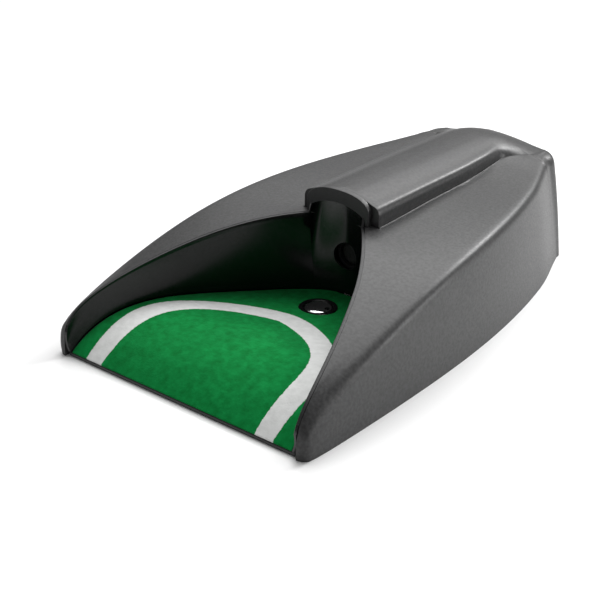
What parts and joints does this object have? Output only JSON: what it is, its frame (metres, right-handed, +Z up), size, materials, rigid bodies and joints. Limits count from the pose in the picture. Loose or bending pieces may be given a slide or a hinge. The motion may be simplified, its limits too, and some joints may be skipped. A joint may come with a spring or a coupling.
{
  "type": "automatic putting cup",
  "caption": "Indoor golf putting cup: wedge-shaped housing with an open felt ramp, a trigger button at its back and a spring kicker that returns the ball.",
  "frame": {"origin": "middle of the footprint at floor level: X 0 is the plane of symmetry and Y 0 is half way between the horns' tips and the middle of the rear wall", "axes": "+Z up, +Y from the open ramp towards the rear wall, +X to the right when looking into the bay"},
  "size_m": [0.16, 0.274, 0.0687],
  "materials": {
    "shell_grey": "fine matt texture",
    "gloss_black": "polished",
    "black_plastic": "satin",
    "green_felt": "printed felt with a white line",
    "chrome": "polished",
    "rubber": "matt",
    "white_nylon": "satin",
    "steel": "bright",
    "switch_black": "satin",
    "switch_red": "satin",
    "acetal_black": "satin",
    "zinc_plate": "zinc plated",
    "brass": "turned",
    "motor_can": "plated",
    "cell_green": "plain sleeve",
    "nickel_sheet": "nickel plated",
    "board_green": "solder mask",
    "capacitor_sleeve": "shrink sleeve",
    "relay_blue": "satin",
    "lead_red": "insulation",
    "lead_black": "insulation"
  },
  "bodies": {
    "housing": {"upper_housing": "shell_grey", "bay_liner": "gloss_black", "base_plate": "black_plastic", "putting_deck": "black_plastic", "green_felt": "green_felt", "hole_bezel": "gloss_black", "lever_pin": "steel", "lever_spring": "steel", "micro_switch": "switch_black", "kicker_guide": "black_plastic", "kicker_spring": "steel", "sector_axle": "steel", "reduction_axle": "steel", "gear_frame": "zinc_plate", "frame_cover": "zinc_plate", "motor": "motor_can", "motor_strap": "black_plastic", "contact_positive": "nickel_sheet", "contact_negative": "nickel_sheet", "contact_front_bridge": "nickel_sheet", "contact_left_bridge": "nickel_sheet", "contact_right_bridge": "nickel_sheet", "circuit_board": "board_green", "control_chip": "black_plastic", "smoothing_capacitor": "capacitor_sleeve", "motor_relay": "relay_blue", "power_jack": "black_plastic", "power_switch": "steel", "motor_lead_red": "lead_red", "motor_lead_black": "lead_black", "battery_lead_red": "lead_red", "trigger_lead": "lead_black", "jack_lead": "lead_red", "rubber_foot_1": "rubber", "battery_cell_1": "cell_green", "rubber_foot_2": "rubber", "battery_cell_2": "cell_green", "rubber_foot_3": "rubber", "battery_cell_3": "cell_green", "rubber_foot_4": "rubber", "battery_cell_4": "cell_green", "base_screw_1": "steel", "base_screw_2": "steel", "base_screw_3": "steel", "base_screw_4": "steel", "base_screw_5": "steel", "base_screw_6": "steel", "frame_screw_1": "steel", "frame_screw_2": "steel"},
    "button": {"trigger_button": "chrome"},
    "lever": {"trigger_lever": "white_nylon"},
    "switch_pin": {"switch_plunger": "switch_red"},
    "kicker": {"kicker_plunger": "acetal_black", "kicker_tip": "rubber"},
    "sector": {"sector_gear": "white_nylon"},
    "reduction": {"reduction_gear": "white_nylon"},
    "pinion": {"motor_pinion": "brass"},
    "door": {"battery_door": "black_plastic"},
    "knob": {"power_switch_knob": "black_plastic"}
  },
  "joints": [
    {"name": "trigger_press", "type": "slide", "parent": "housing", "child": "button", "axis": [0, 0, -1], "range_m": [0, 0.001], "stiffness_N_per_m": 250, "springref_m": -0.0006},
    {"name": "lever_rock", "type": "hinge", "parent": "housing", "child": "lever", "pos_m": [0, -0.005, 0.0049], "axis": [1, 0, 0], "range_deg": [0, 2.4], "deforming": ["lever_spring"]},
    {"name": "switch_pin_press", "type": "slide", "parent": "housing", "child": "switch_pin", "axis": [0, 0, 1], "range_m": [0, 0.0007]},
    {"name": "kicker_stroke", "type": "slide", "parent": "housing", "child": "kicker", "axis": [0, -1, 0], "range_m": [0, 0.02], "deforming": ["kicker_spring"]},
    {"name": "sector_turn", "type": "hinge", "parent": "housing", "child": "sector", "pos_m": [0, 0.036, 0.01874], "axis": [1, 0, 0], "range_deg": [0, 138]},
    {"name": "reduction_turn", "type": "hinge", "parent": "housing", "child": "reduction", "pos_m": [0, 0.05035, 0.01749], "axis": [1, 0, 0], "range_deg": [-525, 0]},
    {"name": "pinion_turn", "type": "hinge", "parent": "housing", "child": "pinion", "pos_m": [0, 0.06394, 0.01115], "axis": [1, 0, 0], "range_deg": [0, 2100]},
    {"name": "battery_door_slide", "type": "slide", "parent": "housing", "child": "door", "axis": [0, 1, 0], "range_m": [0, 0.055]},
    {"name": "power_switch_slide", "type": "slide", "parent": "housing", "child": "knob", "axis": [1, 0, 0], "range_m": [0, 0.004]}
  ],
  "couplings": [
    {"joint": "lever_rock", "follows": "trigger_press", "rad_per_m": 37.037},
    {"joint": "switch_pin_press", "follows": "trigger_press", "ratio": 0.593},
    {"joint": "sector_turn", "follows": "kicker_stroke", "rad_per_m": 119.05},
    {"joint": "reduction_turn", "follows": "kicker_stroke", "rad_per_m": -452.38},
    {"joint": "pinion_turn", "follows": "kicker_stroke", "rad_per_m": 1809.5}
  ]
}
